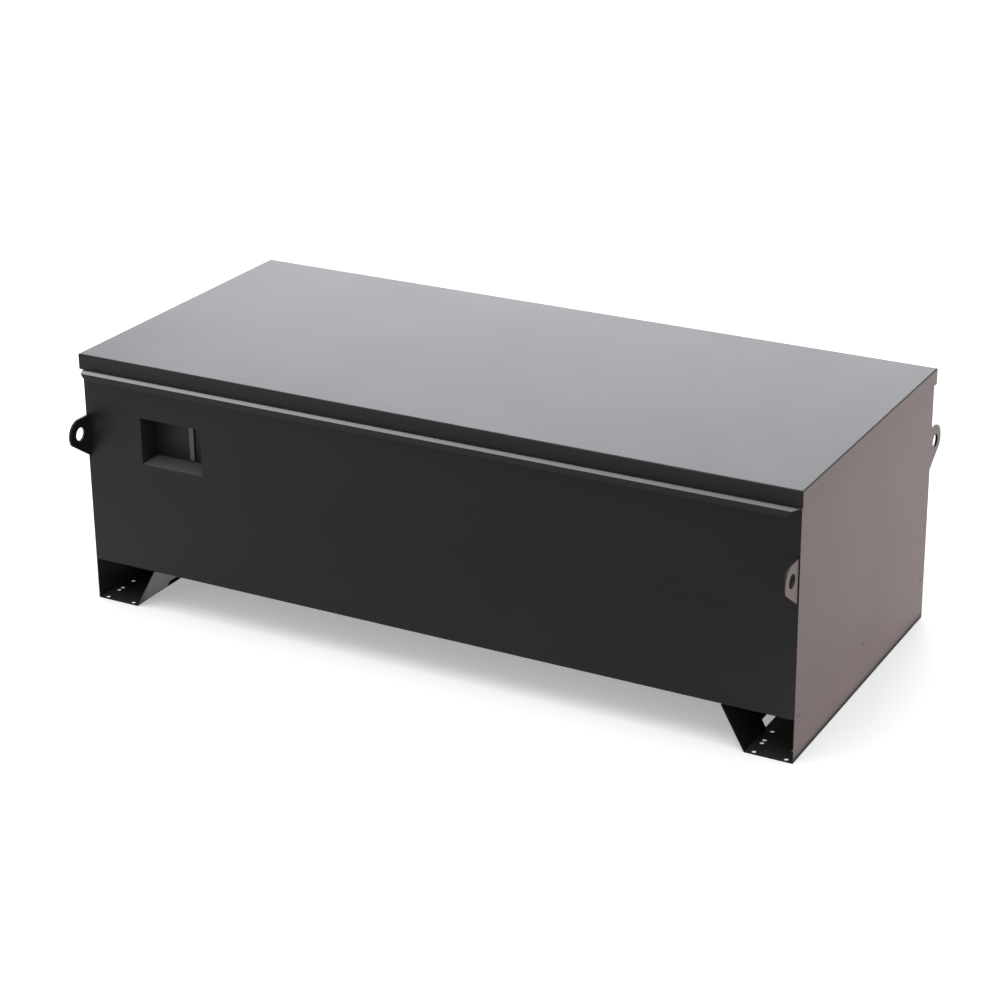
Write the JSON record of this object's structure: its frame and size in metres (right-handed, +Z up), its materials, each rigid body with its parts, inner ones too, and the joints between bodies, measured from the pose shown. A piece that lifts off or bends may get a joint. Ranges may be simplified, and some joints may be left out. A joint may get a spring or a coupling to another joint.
{
  "type": "jobsite storage box",
  "caption": "Long steel storage chest on forklift skids, with a flat hinged lid on gas struts, a sliding latch in a front recess and lifting eyes at the corners.",
  "frame": {"origin": "on the floor, under the middle of the chest: the centre of the bounding box's bottom face", "axes": "+X to the right along the front, as one faces it; +Y to the back; +Z up. The latch recess is at the front left"},
  "size_m": [1.8396, 0.964, 0.637],
  "materials": {
    "charcoal_steel": "satin powder coat",
    "zinc_steel": "zinc plated",
    "black_strut": "semi-gloss black",
    "strut_chrome": "hard chrome",
    "black_rubber": "matt"
  },
  "bodies": {
    "chest": {"front_panel": "charcoal_steel", "front_ledge": "charcoal_steel", "front_rim_rail": "charcoal_steel", "rear_rim_rail": "charcoal_steel", "rear_panel": "charcoal_steel", "left_end_panel": "charcoal_steel", "right_end_panel": "charcoal_steel", "floor_panel": "charcoal_steel", "recess_pan": "charcoal_steel", "left_front_lifting_eye": "charcoal_steel", "left_rear_lifting_eye": "charcoal_steel", "right_front_lifting_eye": "charcoal_steel", "right_rear_lifting_eye": "charcoal_steel", "hinge_body_leaf": "charcoal_steel", "hinge_pin": "zinc_steel", "latch_guide_left": "charcoal_steel", "latch_guide_middle": "charcoal_steel", "latch_guide_right": "charcoal_steel", "left_strut_body_bracket": "zinc_steel", "right_strut_body_bracket": "zinc_steel"},
    "lid": {"lid_pan": "charcoal_steel", "lid_seal": "black_rubber", "lid_stiffener_left": "charcoal_steel", "lid_stiffener_middle": "charcoal_steel", "lid_stiffener_right": "charcoal_steel", "hinge_lid_leaf": "charcoal_steel", "latch_keeper_left": "zinc_steel", "latch_keeper_right": "zinc_steel", "left_strut_lid_bracket": "zinc_steel", "right_strut_lid_bracket": "zinc_steel"},
    "latch": {"latch_bar": "zinc_steel", "latch_pull_plate": "charcoal_steel", "latch_hook_left": "zinc_steel", "latch_hook_right": "zinc_steel"},
    "left_strut_cylinder": {"left_strut_tube": "black_strut"},
    "right_strut_cylinder": {"right_strut_tube": "black_strut"},
    "left_strut_piston": {"left_strut_rod": "strut_chrome"},
    "right_strut_piston": {"right_strut_rod": "strut_chrome"}
  },
  "joints": [
    {"name": "lid_hinge", "type": "hinge", "parent": "chest", "child": "lid", "pos_m": [0, 0.4108, 0.593], "axis": [-1, 0, 0], "range_deg": [0, 80]},
    {"name": "latch_slide", "type": "slide", "parent": "chest", "child": "latch", "axis": [1, 0, 0], "range_m": [0, 0.0095]},
    {"name": "left_strut_foot", "type": "hinge", "parent": "chest", "child": "left_strut_cylinder", "pos_m": [-0.8758, 0.32362, 0.36939], "axis": [-1, 0, 0], "range_deg": [0, 40]},
    {"name": "right_strut_foot", "type": "hinge", "parent": "chest", "child": "right_strut_cylinder", "pos_m": [0.8758, 0.32362, 0.36939], "axis": [-1, 0, 0], "range_deg": [0, 40]},
    {"name": "left_strut_head", "type": "hinge", "parent": "lid", "child": "left_strut_piston", "pos_m": [-0.8758, 0.17148, 0.611], "axis": [-1, 0, 0], "range_deg": [-40, 0]},
    {"name": "right_strut_head", "type": "hinge", "parent": "lid", "child": "right_strut_piston", "pos_m": [0.8758, 0.17148, 0.611], "axis": [-1, 0, 0], "range_deg": [-40, 0]}
  ],
  "couplings": [
    {"joint": "left_strut_foot", "follows": "lid_hinge", "ratio": 0.5},
    {"joint": "right_strut_foot", "follows": "lid_hinge", "ratio": 0.5},
    {"joint": "left_strut_head", "follows": "lid_hinge", "ratio": -0.5},
    {"joint": "right_strut_head", "follows": "lid_hinge", "ratio": -0.5}
  ]
}
